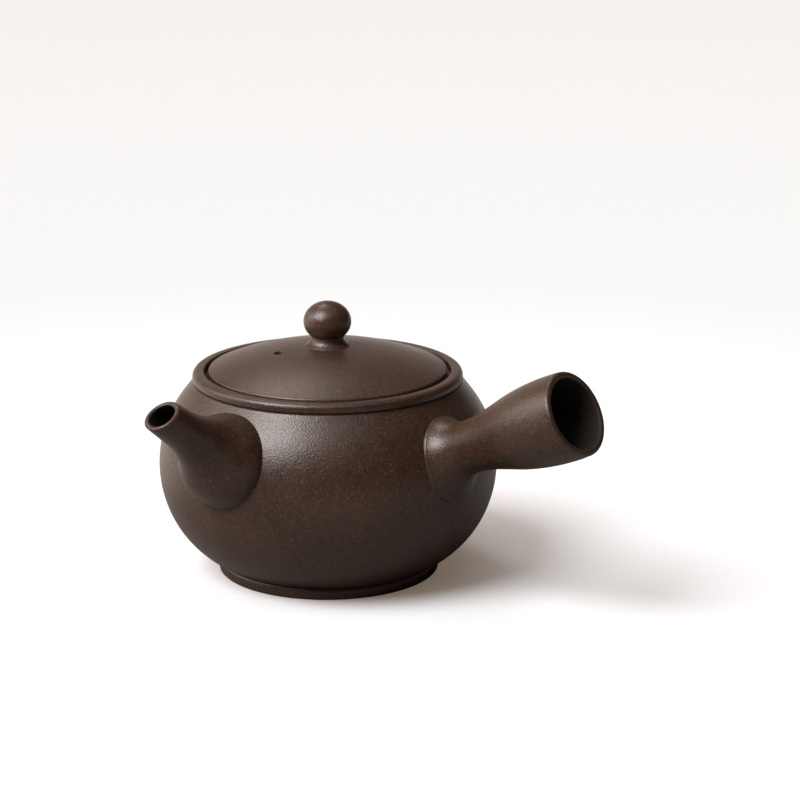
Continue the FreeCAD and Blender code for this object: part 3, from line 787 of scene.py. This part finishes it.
@dataclass(frozen=True)
class Limb:
    """A hollow limb turned about its own axis, seated on the pot and cut at its mouth.

    Places along the axis count from the pot's axis. Rows of faces run up from the
    root to the join, where they stay put, and on past the mouth by the spare length.
    """

    clay: Finish
    # the far darker clay that paints the shade inside the bore
    bore_shade: Finish
    form: PotForm
    name: str
    node: str
    turn: float
    rise: float
    reach: float
    height: float
    wall: float
    cut_tip: float
    cut_turn: float
    lip_round: float
    bead: float
    spare: float = 3.4
    rows_above: int = 18
    root_rows: int = 26
    root_depth: float = 12.0
    root_crowding: float = 0.85
    inside: float = 30.0
    halvings: int = 40
    above_seam: float = 3.0
    sink: float = 0.35
    sink_power: int = 8
    bead_swell: float = 0.55
    bead_sink: float = 0.25
    bead_power: int = 6
    # faces nearer the axis than this share of the wall take the bore's painted-shade clay
    bore_shade_share: float = 0.85
    lip_steps: int = 5
    steps: int = 160

    @property
    def mouth(self) -> float:
        """Place of the middle of the mouth."""
        return self.reach / cos(radians(self.rise))

    @property
    def join(self) -> float:
        """Place where the root's rows end."""
        raise NotImplementedError

    @property
    def matrix(self) -> Matrix:
        """From the limb's own frame, Z along its axis, to the pot's, in metres."""
        foot = self.height - self.reach * tan(radians(self.rise))
        return Matrix.Translation((0.0, 0.0, foot * MM)) @ climbing(self.turn, self.rise)

    def radius(self, along: float, wall: float) -> float:
        """Radius at a place along the axis, wall millimetres inside the outer surface."""
        raise NotImplementedError

    def depth(self, spot: Vector) -> float:
        """How far a spot, in metres, lies outside the pot's surface, in millimetres."""
        top = self.form.seam_height + self.above_seam
        height = min(max(spot.z / MM, self.form.foot_height), top)
        return hypot(spot.x, spot.y) / MM - self.form.radius(height)

    def landing(self, side: Vector, wall: float) -> float:
        """Where one line of the limb's side meets the pot.

        Args:
            side: unit direction of the line, across the limb's axis.
            wall: how far inside the limb's outer surface the line runs.

        Returns:
            The place along the axis.
        """
        matrix = self.matrix
        low, high = self.inside, self.join
        for _ in range(self.halvings):
            middle = (low + high) / 2
            spot = side * (self.radius(middle, wall) * MM)
            spot.z = middle * MM
            if self.depth(matrix @ spot) < 0:
                low = middle
            else:
                high = middle
        return high

    def shares(self) -> list[float]:
        """Shares of the way from the join to the landing, one for each root row."""
        return [(index / self.root_rows) ** self.root_crowding
                for index in range(self.root_rows + 1)]

    def places(self) -> list[float]:
        """Places of the rows above the join, up to the spare end past the mouth."""
        last = self.mouth - self.spare
        return [self.join + (last - self.join) * index / self.rows_above
                for index in range(1, self.rows_above + 1)] + [self.mouth + self.spare]

    def make(self) -> Piece:
        """Turn the tube, cut and round its mouth, seat its root and put it in place.

        Returns:
            The limb.
        """
        root = [self.join - self.root_depth * share for share in self.shares()]
        outer, inner = ([(self.radius(place, wall), place) for place in root]
                        for wall in (0.0, self.wall))
        up_outer, up_inner = ([(self.radius(place, wall), place) for place in self.places()]
                              for wall in (0.0, self.wall))
        outline = outer[::-1] + up_outer + up_inner[::-1] + inner
        limb = Bench.turned(self.name, outline, self.steps, closed=True)
        self.trim(limb)
        self.seat(limb, outer, inner)
        Bench.settle(limb, self.matrix)
        Bench.smooth(limb)
        return limb

    def trim(self, limb: Piece) -> None:
        """Cut the limb at its slanted mouth, close the lip and round it."""
        way = facing(self.cut_turn, self.rise + self.cut_tip)
        normal = (climbing(0.0, self.rise).inverted() @ way).normalized()
        middle = Vector((0.0, 0.0, self.mouth * MM))

        def in_cut(corner: bmesh.types.BMVert) -> bool:
            """Whether a corner lies in the plane of the cut."""
            return abs((corner.co - middle).dot(normal)) < CLOSE * MM

        def on_lip(edge: bmesh.types.BMEdge) -> bool:
            """Whether an edge is one of the lip's two rims."""
            flat = [all(map(in_cut, face.verts)) for face in edge.link_faces]
            return all(map(in_cut, edge.verts)) and flat.count(True) == 1

        Bench.edit(limb)
        bpy.ops.mesh.bisect(plane_co=middle, plane_no=normal, clear_outer=True,
                            clear_inner=False)
        Bench.pick_edges(limb, lambda edge: len(edge.link_faces) == 1)
        bpy.ops.mesh.bridge_edge_loops()
        found = Bench.pick_edges(limb, on_lip)
        LOG.info("%s: %d lip edges", self.name, found)
        bpy.ops.mesh.bevel(offset_type="OFFSET", offset=self.lip_round * MM,
                           segments=self.lip_steps, profile=0.5, affect="EDGES",
                           clamp_overlap=False)
        Bench.done()

    def seat(self, limb: Piece, outer: Sequence[Point], inner: Sequence[Point]) -> None:
        """Slide the root rows along the limb's sides, so that they end on the pot.

        Args:
            limb: the tube in its own frame.
            outer: the outer root rows as drawn, from the join down.
            inner: the inner ones.
        """
        join = self.join
        shares = self.shares()
        drawn = [(point, index, wall) for wall, row in ((0.0, outer), (self.wall, inner))
                 for index, point in enumerate(row)]
        landings: dict[tuple[Point, float], float] = {}
        for corner in limb.data.vertices:
            along = corner.co.z / MM
            reach = hypot(corner.co.x, corner.co.y) / MM
            if along > join - CLOSE:
                continue
            _, row, wall = min((dist((reach, along), point), index, wall)
                               for point, index, wall in drawn)
            side = Vector((corner.co.x, corner.co.y, 0.0)).normalized()
            key = ((round(side.x, 3), round(side.y, 3)), wall)
            if key not in landings:
                landings[key] = self.landing(side, wall)
            landing = landings[key]
            place = join - (join - landing) * shares[row]
            width = self.radius(place, wall)
            if wall == 0.0 and self.bead > 0:
                place, width = self.bead_point(landing, place, width)
            else:
                place -= self.sink * shares[row] ** self.sink_power
            spot = side * (width * MM)
            corner.co = Vector((spot.x, spot.y, place * MM))

    def bead_point(self, landing: float, place: float, width: float) -> Point:
        """Round the rim of the root: rows near the landing drop steeply to the pot.

        Args:
            landing: where the side meets the pot, along the axis.
            place: a row's place along the axis.
            width: its radius.

        Returns:
            The row's rounded place and radius, as (place, radius).
        """
        near = (place - landing) / self.bead
        if near >= 1.0:
            return place, width
        edge = self.radius(landing, 0.0)
        brow = self.radius(landing + self.bead, 0.0)
        swing = radians(90.0 * (1.0 - near))
        drop = self.bead_sink * sin(swing) ** self.bead_power
        return (landing + self.bead * cos(swing) - drop,
                brow + (edge - brow) * self.bead_swell * sin(swing))

    def build(self) -> None:
        """Make the limb and hand it over, its bore in the far darker clay that paints its shade.
        """
        limb = self.make()
        hand_over(limb, self.clay, Body.POT, self.node)
        # the bore's faces take the clay that paints their shade
        limb.data.materials.append(self.bore_shade)
        unturned = self.matrix.inverted()
        for face in limb.data.polygons:
            spot = unturned @ face.center
            bore = self.radius(spot.z / MM, self.wall * self.bore_shade_share)
            if hypot(spot.x, spot.y) / MM < bore:
                face.material_index = 1


@dataclass(frozen=True)
class SideHandle(Limb):
    """Hollow side handle, flared at its root and widening to its open mouth."""

    name: str = "handle_turned"
    node: str = "handle"
    turn: float = 0.0
    rise: float = 24.0
    reach: float = 99.5
    height: float = 69.2
    wall: float = 2.2
    cut_tip: float = 4.0
    cut_turn: float = 5.5
    lip_round: float = 0.95
    bead: float = 0.9
    mouth_radius: float = 13.5
    mouth_back: float = 6.0
    neck_radius: float = 8.35
    neck_back: float = 44.5
    taper: float = 11.0
    belly_bend: float = 94.0
    neck_bend: float = 52.0
    flare_bend: float = 12.3
    flare_angle: float = 62.0

    @property
    def join(self) -> float:
        """Place where the root's rows end, the thinnest one."""
        return self.mouth - self.neck_back

    def radius(self, along: float, wall: float) -> float:
        """Radius at a place along the axis, wall millimetres inside the outer surface."""
        neck, widest = self.mouth - self.neck_back, self.mouth - self.mouth_back
        slope, steepest = radians(self.taper), radians(self.flare_angle)
        flare = self.flare_bend + wall
        hollow = self.neck_bend + wall
        belly = self.belly_bend - wall
        if along < neck - flare * sin(steepest):
            return self.neck_radius + self.flare_bend - flare * cos(steepest)
        if along < neck:
            return self.neck_radius + self.flare_bend - sqrt(flare ** 2 - (neck - along) ** 2)
        if along < neck + hollow * sin(slope):
            return self.neck_radius + self.neck_bend - sqrt(hollow ** 2 - (along - neck) ** 2)
        low = (neck + hollow * sin(slope),
               self.neck_radius + self.neck_bend - hollow * cos(slope))
        high = (widest - belly * sin(slope),
                self.mouth_radius - self.belly_bend + belly * cos(slope))
        if along < high[0]:
            return low[1] + (high[1] - low[1]) * (along - low[0]) / (high[0] - low[0])
        return self.mouth_radius - self.belly_bend + sqrt(belly ** 2 - (along - widest) ** 2)


@dataclass(frozen=True)
class Spout(Limb):
    """Short spout: a round root that narrows to a slanted tip."""

    name: str = "spout_turned"
    node: str = "spout"
    turn: float = SPOUT_TURN
    rise: float = 35.8
    reach: float = 78.45
    height: float = 67.7
    wall: float = 1.6
    cut_tip: float = 21.5
    cut_turn: float = -5.0
    lip_round: float = 0.78
    bead: float = 0.0
    spare: float = 3.6
    rows_above: int = 24
    join_lift: float = 9.0
    bulb_radius: float = 14.75
    bulb_back: float = 36.0
    bulb_bend: float = 16.0
    flare_angle: float = 34.0
    tip_radius: float = 5.65
    taper: float = 3.0

    @property
    def join(self) -> float:
        """Place where the root's rows end, a little above the widest one."""
        return self.mouth - self.bulb_back + self.join_lift

    @property
    def neck_bend(self) -> float:
        """Radius of the hollow arc between the round root and the tapering tip."""
        flare, slope = radians(self.flare_angle), radians(self.taper)
        drop = self.bulb_radius - self.bulb_bend * (1 - cos(flare)) - self.tip_radius
        run = (self.bulb_back - self.bulb_bend * sin(flare)) * tan(slope)
        return (drop - run) / ((cos(slope) - cos(flare))
                               - (sin(flare) - sin(slope)) * tan(slope))

    def radius(self, along: float, wall: float) -> float:
        """Radius at a place along the axis, wall millimetres inside the outer surface."""
        widest = self.mouth - self.bulb_back
        flare, slope = radians(self.flare_angle), radians(self.taper)
        bulb = self.bulb_bend - wall
        middle = self.bulb_radius - self.bulb_bend
        if along < widest:
            return self.bulb_radius - wall
        if along < widest + bulb * sin(flare):
            return middle + sqrt(bulb ** 2 - (along - widest) ** 2)
        neck = self.neck_bend
        hollow = neck + wall
        centre = (widest + (self.bulb_bend + neck) * sin(flare),
                  middle + (self.bulb_bend + neck) * cos(flare))
        end = centre[0] - hollow * sin(slope)
        if along < end:
            return centre[1] - sqrt(hollow ** 2 - (centre[0] - along) ** 2)
        return centre[1] - hollow * cos(slope) - (along - end) * tan(slope)


@dataclass(frozen=True)
class Lid:
    """The domed lid with its steam hole, the ring under it and the knob."""

    clay: Finish
    radius: float = 38.03
    seat: float = 63.396
    edge_rise: float = 2.6
    under_edge: Edge = ((-0.35, 0.0), (-0.08, 0.10), (0.0, 0.35))
    edge_round: float = 0.9
    edge_steps: int = 8
    dome_bend: float = 96.0
    dome_start: float = 1.0
    dome_steps: int = 26
    thickness: float = 3.2
    hollow_steps: int = 14
    dome_turns: int = 256
    dome_crisp: float = 38.0
    flange_radius: float = 33.6
    flange_inner: float = 31.2
    flange_top: float = 64.596
    flange_bottom: float = 56.7
    flange_round: float = 0.7
    flange_steps: int = 6
    flange_turns: int = 192
    vent_radius: float = 1.6
    vent_reach: float = 16.4
    vent_turn: float = -118.5
    vent_edge: Edge = ((0.0, -6.0), (0.0, -0.15), (0.12, 0.05), (0.5, 1.5))
    vent_turns: int = 48
    knob_radius: float = 7.6
    knob_half_height: float = 6.5
    knob_height: float = 81.3
    knob_cut: float = 46.3
    knob_steps: int = 30
    knob_turns: int = 128
    knob_crisp: float = 60.0
    neck_foot_radius: float = 7.0
    neck_foot_edge: Edge = ((-0.4, -0.9), (0.25, -0.15))
    neck_start: Point = (0.10, 0.12)
    neck_end: Point = (0.0, -0.15)
    neck_bend: float = 3.4
    neck_steps: int = 14

    def drop(self, radius: float) -> float:
        """How far the dome lies below its middle at that radius."""
        return self.dome_bend - sqrt(self.dome_bend ** 2 - radius ** 2)

    @property
    def crown(self) -> float:
        """Height of the middle of the dome."""
        return self.seat + self.edge_rise + self.drop(self.radius)

    def make_dome(self) -> Piece:
        """Turn the dome, round its edge and drill the steam hole."""
        hollow_top = self.crown - self.thickness
        rise = hollow_top - self.flange_top
        bend = (self.flange_inner ** 2 + rise ** 2) / (2 * rise)
        spread = degrees(asin(self.flange_inner / bend))
        lean = degrees(asin(self.radius / self.dome_bend))
        soft = self.edge_round
        inside = self.radius - soft
        centre = self.crown - self.dome_bend
        edge_height = centre + sqrt((self.dome_bend - soft) ** 2 - inside ** 2)
        outline = chain(
            arc((0.0, hollow_top - bend), bend, 90.0, 90.0 - spread, self.hollow_steps),
            [(self.flange_radius, self.flange_top), (self.flange_radius, self.seat)],
            [moved((self.radius, self.seat), move) for move in self.under_edge],
            arc((inside, edge_height), soft, 0.0, 90.0 - lean, self.edge_steps),
            arc((0.0, centre), self.dome_bend, 90.0 - lean + self.dome_start, 90.0,
                self.dome_steps))
        dome = Bench.turned("lid_turned", outline, self.dome_turns)
        turn = radians(self.vent_turn)
        top = self.crown - self.drop(self.vent_reach)
        side = [moved((self.vent_radius, top), move) for move in self.vent_edge]
        drill = Bench.turned("vent_drill", [(0.0, side[0][1]), *side, (0.0, side[-1][1])],
                             self.vent_turns)
        Bench.settle(drill, Matrix.Translation((self.vent_reach * cos(turn) * MM,
                                                self.vent_reach * sin(turn) * MM, 0.0)))
        Bench.cut_away(dome, drill)
        Bench.smooth(dome, self.dome_crisp)
        return dome

    def make_flange(self) -> Piece:
        """Turn the ring that keeps the lid centred."""
        soft = self.flange_round
        low = self.flange_bottom + soft
        outline = chain(
            arc((self.flange_inner + soft, low), soft, 180.0, 270.0, self.flange_steps),
            arc((self.flange_radius - soft, low), soft, -90.0, 0.0, self.flange_steps),
            [(self.flange_radius, self.flange_top), (self.flange_inner, self.flange_top)])
        flange = Bench.turned("lid_ring_turned", outline, self.flange_turns, closed=True)
        Bench.smooth(flange)
        return flange

    def make_knob(self) -> Piece:
        """Turn the ball and its flared neck in one."""
        ball = [(self.knob_radius * out, self.knob_height + self.knob_half_height * up)
                for out, up in arc((0.0, 0.0), 1.0, -self.knob_cut, 90.0, self.knob_steps)]
        ball[-1] = (0.0, ball[-1][1])
        foot = (self.neck_foot_radius, self.crown - self.drop(self.neck_foot_radius))
        edge = [moved(foot, move) for move in self.neck_foot_edge]
        neck = hollow_arc(moved(foot, self.neck_start), moved(ball[0], self.neck_end),
                          self.neck_bend, self.neck_steps)
        outline = chain([(0.0, edge[0][1])], edge, neck, ball)
        knob = Bench.turned("knob_turned", outline, self.knob_turns)
        Bench.smooth(knob, self.knob_crisp)
        return knob

    def build(self) -> None:
        """Make the lid's members and hand them over."""
        hand_over(self.make_dome(), self.clay, Body.LID, "lid_dome")
        hand_over(self.make_flange(), self.clay, Body.LID, "lid_flange")
        hand_over(self.make_knob(), self.clay, Body.LID, "knob_neck", "lid_knob")


# studio


def stand(name: str, data: bpy.types.ID) -> Piece:
    """A new lamp or camera in the scene."""
    thing = bpy.data.objects.new(name, data)
    bpy.context.scene.collection.objects.link(thing)
    return thing


@dataclass(frozen=True)
class FarLamp:
    """One far soft light, a broad disc that lights the table evenly, angles in degrees."""

    name: str
    turn: float
    climb: float
    spread: float
    strength: float
    colour: tuple[float, float, float] = (1.0, 1.0, 1.0)

    def place(self) -> None:
        """Hang the lamp so that it faces the pot."""
        data = bpy.data.lights.new(self.name, "SUN")
        data.angle = radians(self.spread)
        data.energy = self.strength
        data.color = self.colour
        lamp = stand(self.name, data)
        way = facing(self.turn, self.climb)
        lamp.location = way
        lamp.rotation_euler = way.to_track_quat("Z", "Y").to_euler()


@dataclass(frozen=True)
class Studio:
    """Table, light and camera.

    The room glows low down and behind the pot, by bands of the direction's height
    and of its share of the glow's own way, and is even and pale to the camera.
    """

    table_width: float = 9.0
    table_cuts: int = 3
    room: Colour = (0.955, 0.925, 0.90, 1.0)
    room_tone: Colour = (1.0, 0.85, 0.75, 1.0)
    room_light: float = 0.035
    glow: float = 0.58
    glow_heights: Band = (0.10, 0.75)
    glow_way: Point = (-0.97, 0.26)
    glow_band: Band = (0.20, 1.0)
    lens: float = 136.0
    film_width: float = 36.0
    eye: tuple[float, float, float] = (0.6223, -0.6911, 0.31527)
    gaze: tuple[float, float, float] = (74.379, 0.0, 40.583)
    lamps: tuple[FarLamp, ...] = (
        FarLamp("key", -104.0, 46.0, 37.0, 2.85),
        FarLamp("window", -146.0, 23.0, 40.0, 0.85, (1.0, 0.90, 0.87)),
        FarLamp("back", 154.0, 55.0, 20.0, 0.36, (1.0, 0.92, 0.88)),
        FarLamp("overhead", -140.0, 80.0, 90.0, 0.42, (1.0, 0.96, 0.93)),
        FarLamp("fill", -60.0, 62.0, 44.0, 0.28),
    )

    def set_table(self) -> None:
        """Lay the table top under the foot."""
        bpy.ops.object.select_all(action="DESELECT")
        bpy.ops.mesh.primitive_plane_add(size=self.table_width, location=(0.0, 0.0, 0.0))
        table = bpy.context.active_object
        table.name = "table_top"
        Bench.edit(table)
        bpy.ops.mesh.subdivide(number_cuts=self.table_cuts)
        bpy.ops.object.mode_set(mode="OBJECT")
        table.data.materials.append(TableFinish().make())

    def set_room(self) -> None:
        """Light the room low and behind, and show it pale behind the table."""
        world = bpy.data.worlds.new("pale_room")
        bpy.context.scene.world = world
        world.use_nodes = True
        sheet = Sheet(world.node_tree)
        seen = sheet.out(sheet.add("ShaderNodeLightPath"), "Is Camera Ray")
        way = sheet.out(sheet.add("ShaderNodeTexCoord"), "Generated")
        parts = sheet.add("ShaderNodeSeparateXYZ", None, {0: way})
        low = sheet.band(sheet.out(parts, "Z"), *self.glow_heights, self.glow, 0.0)
        along = (sheet.out(parts, "X") * self.glow_way[0]
                 + sheet.out(parts, "Y") * self.glow_way[1])
        level = low * sheet.band(along, *self.glow_band) + self.room_light
        strength = level + seen * (1.0 - level)
        colour = sheet.mix(seen, self.room_tone, self.room)
        shade = sheet.add("ShaderNodeBackground", None, {"Color": colour, "Strength": strength})
        sheet.add("ShaderNodeOutputWorld", None, {"Surface": sheet.out(shade)})

    def set_camera(self) -> None:
        """Stand the camera where the photograph was taken from."""
        data = bpy.data.cameras.new("camera")
        data.lens = self.lens
        data.sensor_width = self.film_width
        camera = stand("camera", data)
        camera.location = self.eye
        camera.rotation_euler = Euler([radians(angle) for angle in self.gaze])
        bpy.context.scene.camera = camera

    def build(self) -> None:
        """Set the table, the light and the camera."""
        self.set_table()
        self.set_room()
        for lamp in self.lamps:
            lamp.place()
        self.set_camera()
        bpy.context.scene.view_settings.view_transform = "Standard"


def main() -> None:
    """Build the pot and its studio in order."""
    logging.basicConfig(level=logging.INFO, format="%(name)s %(message)s")
    clay = ClayFinish().make()
    # the bores' clay, far darker to paint the shade inside them
    bore_shade = BoreShadeClay().make()
    Studio().build()
    vessel = Vessel(clay)
    vessel.build()
    SideHandle(clay, bore_shade, vessel.form).build()
    Spout(clay, bore_shade, vessel.form).build()
    Lid(clay).build()
    dress(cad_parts["strainer"], clay)


if __name__ == "__main__":
    main()
